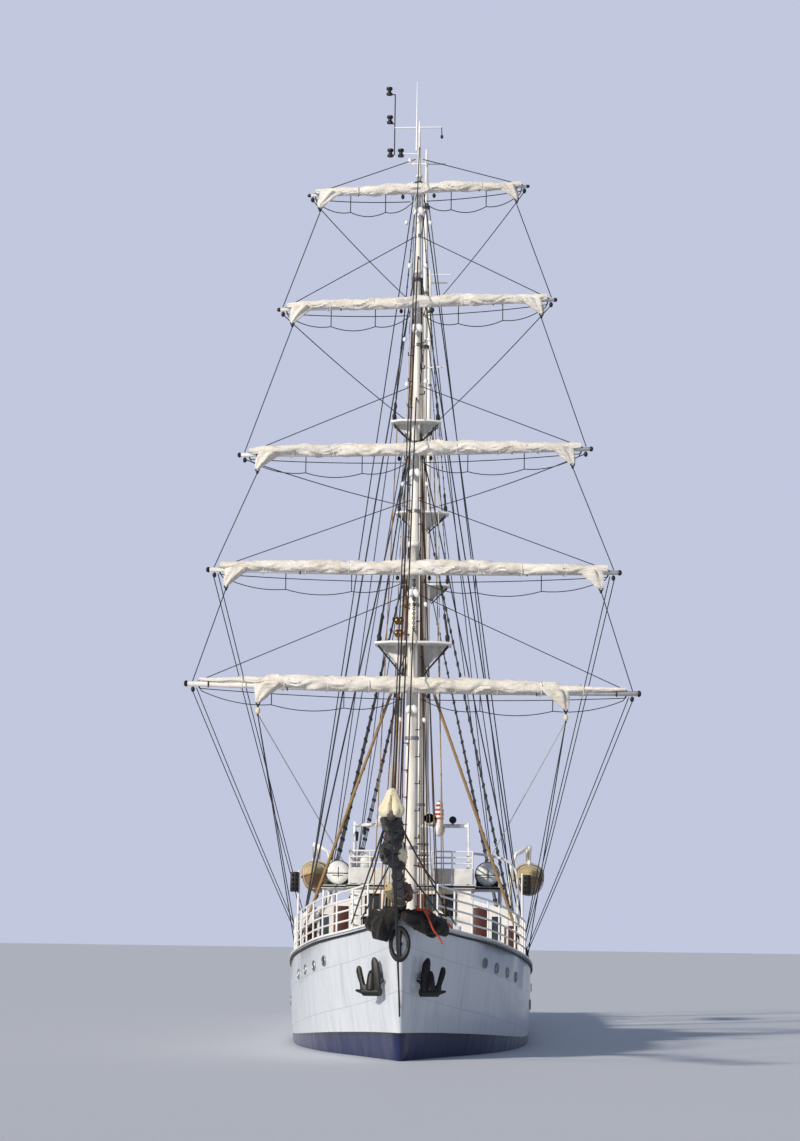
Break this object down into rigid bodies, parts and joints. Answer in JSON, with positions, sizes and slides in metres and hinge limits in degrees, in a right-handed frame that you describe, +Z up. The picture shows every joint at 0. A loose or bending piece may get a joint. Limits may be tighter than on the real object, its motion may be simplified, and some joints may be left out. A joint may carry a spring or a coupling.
{
  "type": "three-masted barquentine sailing ship, 1:2 scale model",
  "caption": "Three-masted barquentine with a white decked hull, furled sails, five yards on the foremast, a wheelhouse, boats in davits, rudder and propeller, as a 1:2 scale model.",
  "frame": {"origin": "on the waterline, on the centreline, halfway along the deck", "axes": "+X to port, +Y aft, +Z up; the bow points along -Y"},
  "size_m": [7.0504, 26.5512, 18.15],
  "materials": {
    "hull_paint": "gloss white paint on steel plating, scuffed",
    "white_paint": "gloss white paint",
    "mast_paint": "warm white paint on steel spars",
    "black_paint": "black paint, worn",
    "maroon_paint": "red-brown paint",
    "white_plastic": "white glass-fibre",
    "varnished_wood": "varnished wood",
    "sailcloth": "cream canvas, matt",
    "cover_cloth": "beige canvas boat cover",
    "wire_rope": "tarred wire rope",
    "bronze": "cast bronze"
  },
  "bodies": {
    "ship": {"hull": "hull_paint", "bulwark_port": "hull_paint", "bulwark_starboard": "hull_paint", "forecastle_rail_port": "white_paint", "forecastle_rail_starboard": "white_paint", "bowsprit": "black_paint", "furled_headsails": "sailcloth", "anchor_port": "black_paint", "anchor_starboard": "black_paint", "windlass": "black_paint", "house_front": "white_paint", "house_aft": "white_paint", "house_port": "white_paint", "house_starboard": "white_paint", "bridge_deck": "white_paint", "wing_screen_port": "white_paint", "wing_screen_starboard": "white_paint", "bridge_rail": "white_paint", "lamp_gantry": "white_paint", "radome": "white_plastic", "life_raft_port": "white_plastic", "life_raft_starboard": "white_plastic", "boat_port": "cover_cloth", "boat_starboard": "cover_cloth", "davits_port": "white_paint", "davits_starboard": "white_paint", "foremast": "mast_paint", "mainmast": "mast_paint", "mizzenmast": "mast_paint", "fore_shrouds_port": "wire_rope", "fore_shrouds_starboard": "wire_rope", "main_shrouds_port": "wire_rope", "main_shrouds_starboard": "wire_rope", "mizzen_shrouds_port": "wire_rope", "mizzen_shrouds_starboard": "wire_rope", "fore_stay": "wire_rope", "topmast_stay": "wire_rope", "topgallant_stay": "wire_rope", "main_stay": "wire_rope", "mizzen_stay": "wire_rope"},
    "course": {"course_yard": "mast_paint", "course_sail": "sailcloth"},
    "lower_topsail": {"lower_topsail_yard": "mast_paint", "lower_topsail_sail": "sailcloth"},
    "upper_topsail": {"upper_topsail_yard": "mast_paint", "upper_topsail_sail": "sailcloth"},
    "topgallant": {"topgallant_yard": "mast_paint", "topgallant_sail": "sailcloth"},
    "royal": {"royal_yard": "mast_paint", "royal_sail": "sailcloth"},
    "main_boom": {"main_boom": "mast_paint", "main_sail": "sailcloth"},
    "mizzen_boom": {"mizzen_boom": "mast_paint", "mizzen_sail": "sailcloth"},
    "rudder": {"rudder": "hull_paint"},
    "propeller": {"propeller": "bronze"},
    "steering_wheel": {"steering_wheel": "varnished_wood"},
    "side_door_port": {"side_door_port": "maroon_paint"},
    "side_door_starboard": {"side_door_starboard": "maroon_paint"},
    "hatch_lid": {"hatch_lid": "varnished_wood"}
  },
  "joints": [
    {"name": "course_brace", "type": "hinge", "parent": "ship", "child": "course", "pos_m": [0, -5.6, 5.47], "axis": [0, 0, 1], "range_deg": [-35, 35]},
    {"name": "lower_topsail_brace", "type": "hinge", "parent": "ship", "child": "lower_topsail", "pos_m": [0, -5.6, 7.315], "axis": [0, 0, 1], "range_deg": [-35, 35]},
    {"name": "upper_topsail_brace", "type": "hinge", "parent": "ship", "child": "upper_topsail", "pos_m": [0, -5.6, 9.215], "axis": [0, 0, 1], "range_deg": [-35, 35]},
    {"name": "topgallant_brace", "type": "hinge", "parent": "ship", "child": "topgallant", "pos_m": [0, -5.6, 11.6], "axis": [0, 0, 1], "range_deg": [-35, 35]},
    {"name": "royal_brace", "type": "hinge", "parent": "ship", "child": "royal", "pos_m": [0, -5.6, 13.475], "axis": [0, 0, 1], "range_deg": [-35, 35]},
    {"name": "main_boom_swing", "type": "hinge", "parent": "ship", "child": "main_boom", "pos_m": [0, 0.96, 2.05], "axis": [0, 0, 1], "range_deg": [-35, 35]},
    {"name": "mizzen_boom_swing", "type": "hinge", "parent": "ship", "child": "mizzen_boom", "pos_m": [0, 6.46, 2.15], "axis": [0, 0, 1], "range_deg": [-35, 35]},
    {"name": "rudder_swing", "type": "hinge", "parent": "ship", "child": "rudder", "pos_m": [0, 8.775, -1], "axis": [0, 0, 1], "range_deg": [-35, 35]},
    {"name": "wheel_turn", "type": "hinge", "parent": "ship", "child": "steering_wheel", "pos_m": [0, 7.8, 1.375], "axis": [0, 1, 0], "range_deg": [-530, 530]},
    {"name": "propeller_spin", "type": "hinge", "parent": "ship", "child": "propeller", "pos_m": [0, 8.05, -1.15], "axis": [0, 1, 0], "continuous": true},
    {"name": "side_door_port_hinge", "type": "hinge", "parent": "ship", "child": "side_door_port", "pos_m": [0.9735, -2.5085, 1.4], "axis": [0, 0, -1], "range_deg": [0, 105]},
    {"name": "side_door_starboard_hinge", "type": "hinge", "parent": "ship", "child": "side_door_starboard", "pos_m": [-0.9735, -2.5085, 1.4], "axis": [0, 0, 1], "range_deg": [0, 105]},
    {"name": "hatch_lid_hinge", "type": "hinge", "parent": "ship", "child": "hatch_lid", "pos_m": [0, 2.975, 0.9075], "axis": [1, 0, 0], "range_deg": [0, 90]}
  ],
  "couplings": [
    {"joint": "lower_topsail_brace", "follows": "course_brace", "ratio": 1},
    {"joint": "upper_topsail_brace", "follows": "course_brace", "ratio": 1},
    {"joint": "topgallant_brace", "follows": "course_brace", "ratio": 1},
    {"joint": "royal_brace", "follows": "course_brace", "ratio": 1},
    {"joint": "wheel_turn", "follows": "rudder_swing", "ratio": 15}
  ]
}
